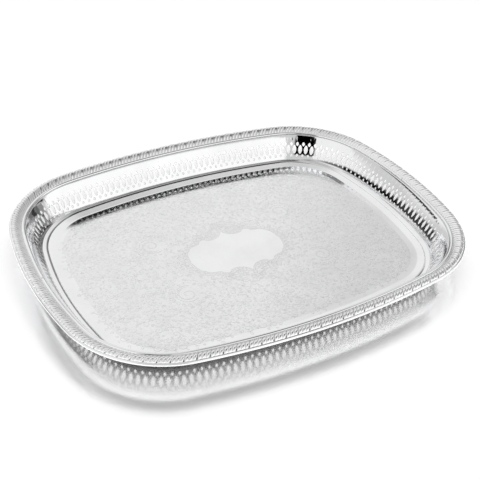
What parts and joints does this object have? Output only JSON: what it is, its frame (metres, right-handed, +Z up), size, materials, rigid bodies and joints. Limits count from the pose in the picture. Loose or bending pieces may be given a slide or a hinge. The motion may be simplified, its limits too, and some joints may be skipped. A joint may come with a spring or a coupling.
{
  "type": "silver gallery tray",
  "caption": "Oblong silver tray with bowed sides, a pierced leaning gallery, a gadrooned rim and an engraved field; used for carrying and serving.",
  "frame": {"origin": "centre of the flat underside, on the surface the tray stands on", "axes": "+X along the tray's length, +Y across it, +Z up out of the tray"},
  "size_m": [0.41, 0.32, 0.031],
  "materials": {
    "plain_silver": "polished silver",
    "engraved_silver": "polished silver, covered in fine engraving",
    "gadroon_silver": "polished silver, slightly dark in the recesses"
  },
  "bodies": {
    "root": {"base_plate": "engraved_silver", "gallery_right": "plain_silver", "gadroon_mount_right": "gadroon_silver", "gallery_corner_back_right": "plain_silver", "gadroon_mount_corner_back_right": "gadroon_silver", "gallery_back": "plain_silver", "gadroon_mount_back": "gadroon_silver", "gallery_corner_back_left": "plain_silver", "gadroon_mount_corner_back_left": "gadroon_silver", "gallery_left": "plain_silver", "gadroon_mount_left": "gadroon_silver", "gallery_corner_front_left": "plain_silver", "gadroon_mount_corner_front_left": "gadroon_silver", "gallery_front": "plain_silver", "gadroon_mount_front": "gadroon_silver", "gallery_corner_front_right": "plain_silver", "gadroon_mount_corner_front_right": "gadroon_silver", "edge_wire_back": "plain_silver", "bead_wire_back": "plain_silver", "edge_wire_front": "plain_silver", "bead_wire_front": "plain_silver"}
  },
  "joints": []
}
